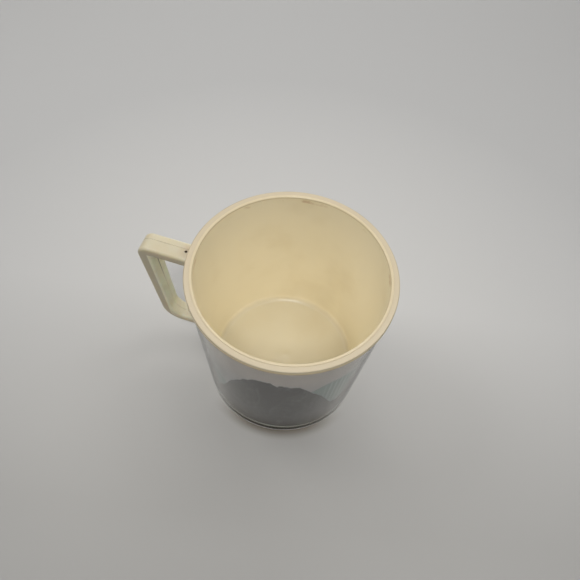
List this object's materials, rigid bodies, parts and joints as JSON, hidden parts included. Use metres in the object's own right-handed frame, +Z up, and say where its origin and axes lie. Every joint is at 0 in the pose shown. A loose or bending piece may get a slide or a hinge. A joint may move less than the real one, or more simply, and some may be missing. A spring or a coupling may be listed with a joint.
{
  "type": "insulated mug",
  "caption": "Double-wall drinking mug with an ivory liner and rim, a printed scene under a clear outer shell, and an angular handle.",
  "frame": {"origin": "on the mug's axis, in the plane of the foot ring that it stands on", "axes": "+Z up along the mug's axis; the handle points along -X; +Y completes the right-handed frame"},
  "size_m": [0.1077, 0.084, 0.0796],
  "materials": {
    "liner_ivory": "satin, yellowed ivory",
    "rim_ivory": "satin ivory with age stains at its lower edge",
    "aged_adhesive": "dull brown-orange",
    "handle_ivory": "satin ivory",
    "printed_sheet": "printed, matt",
    "clear_shell": "clear, glossy"
  },
  "bodies": {
    "root": {"inner_liner": "liner_ivory", "rim_collar": "rim_ivory", "rim_seal": "aged_adhesive", "handle": "handle_ivory", "printed_wrap": "printed_sheet", "outer_shell": "clear_shell"}
  },
  "joints": []
}
